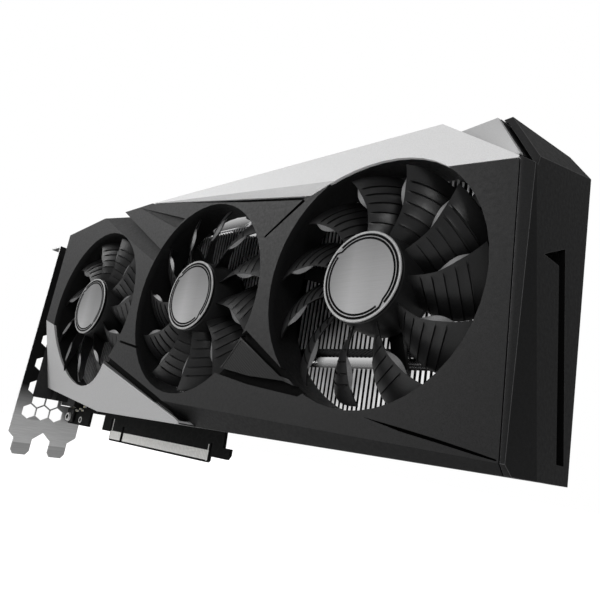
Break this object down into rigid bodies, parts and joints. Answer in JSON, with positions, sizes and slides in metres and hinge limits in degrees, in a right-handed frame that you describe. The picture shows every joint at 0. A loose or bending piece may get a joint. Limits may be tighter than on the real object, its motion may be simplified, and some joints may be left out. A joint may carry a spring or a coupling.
{
  "type": "graphics card",
  "caption": "Long dual-slot graphics card with axial fans in a faceted black and silver cover, finned cooler, vented bracket and slot edge.",
  "frame": {"origin": "centre of the bottom face of the x16 edge connector tab, in the middle of the board's thickness", "axes": "+X along the card from the bracket to the tail, +Y from the fan side to the backplate, +Z from the slot up; the card stands on its slot edge"},
  "size_m": [0.2942, 0.0432, 0.1276],
  "materials": {
    "shroud_black": "fine speckled matte",
    "tail_black": "fine speckled matte",
    "silver_paint": "satin metallic paint",
    "wing_grey": "satin metallic paint",
    "fan_black": "semi-matte moulded",
    "brushed_disc": "brushed",
    "steel": "ground",
    "magnet_dark": "dull",
    "base_black": "moulded",
    "copper_winding": "enamelled wire",
    "board_black": "solder mask",
    "contact_pale": "plated",
    "substrate_green": "laminate",
    "die_grey": "polished",
    "chip_black": "moulded",
    "choke_grey": "powder core",
    "capacitor_can": "satin",
    "copper_plate": "milled",
    "nickel_pipe": "nickel plated",
    "fin_aluminium": "stamped",
    "bracket_nickel": "nickel plated",
    "port_shell": "nickel plated",
    "screw_steel": "nickel plated",
    "power_black": "moulded",
    "backplate_black": "matte powder coat"
  },
  "bodies": {
    "card": {"front_shroud": "shroud_black", "tail_cover": "tail_black", "silver_panel_upper": "silver_paint", "silver_panel_lower": "silver_paint", "wing_trim": "wing_grey", "motor_base_left": "base_black", "stator_coil_left": "copper_winding", "motor_base_middle": "base_black", "stator_coil_middle": "copper_winding", "motor_base_right": "base_black", "stator_coil_right": "copper_winding", "pcb": "board_black", "edge_contacts_short_front": "contact_pale", "edge_contacts_short_rear": "contact_pale", "edge_contacts_long_front": "contact_pale", "edge_contacts_long_rear": "contact_pale", "gpu_substrate": "substrate_green", "gpu_die": "die_grey", "memory_chip_1": "chip_black", "memory_chip_2": "chip_black", "memory_chip_3": "chip_black", "memory_chip_4": "chip_black", "memory_chip_5": "chip_black", "memory_chip_6": "chip_black", "choke_1": "choke_grey", "choke_2": "choke_grey", "capacitor_1": "capacitor_can", "capacitor_2": "capacitor_can", "cold_plate": "copper_plate", "heatpipe_1": "nickel_pipe", "heatpipe_2": "nickel_pipe", "heatpipe_3": "nickel_pipe", "fin_stack_left": "fin_aluminium", "fin_stack_middle": "fin_aluminium", "fin_stack_tail": "fin_aluminium", "io_bracket": "bracket_nickel", "displayport_1": "port_shell", "displayport_2": "port_shell", "hdmi_1": "port_shell", "hdmi_2": "port_shell", "bracket_screw_1": "screw_steel", "bracket_screw_2": "screw_steel", "cooler_screw_1": "screw_steel", "cooler_screw_2": "screw_steel", "cooler_screw_3": "screw_steel", "cooler_screw_4": "screw_steel", "power_connector": "power_black", "backplate": "backplate_black"},
    "fan_left": {"rotor_left": "fan_black", "emblem_left": "brushed_disc", "shaft_left": "steel", "magnet_ring_left": "magnet_dark"},
    "fan_middle": {"rotor_middle": "fan_black", "emblem_middle": "brushed_disc", "shaft_middle": "steel", "magnet_ring_middle": "magnet_dark"},
    "fan_right": {"rotor_right": "fan_black", "emblem_right": "brushed_disc", "shaft_right": "steel", "magnet_ring_right": "magnet_dark"}
  },
  "joints": [
    {"name": "fan_left_spin", "type": "hinge", "parent": "card", "child": "fan_left", "pos_m": [-0.0266, -0.028, 0.0621], "axis": [0, -1, 0], "continuous": true},
    {"name": "fan_middle_spin", "type": "hinge", "parent": "card", "child": "fan_middle", "pos_m": [0.05646, -0.028, 0.0621], "axis": [0, -1, 0], "continuous": true},
    {"name": "fan_right_spin", "type": "hinge", "parent": "card", "child": "fan_right", "pos_m": [0.1395, -0.028, 0.0621], "axis": [0, -1, 0], "continuous": true}
  ]
}
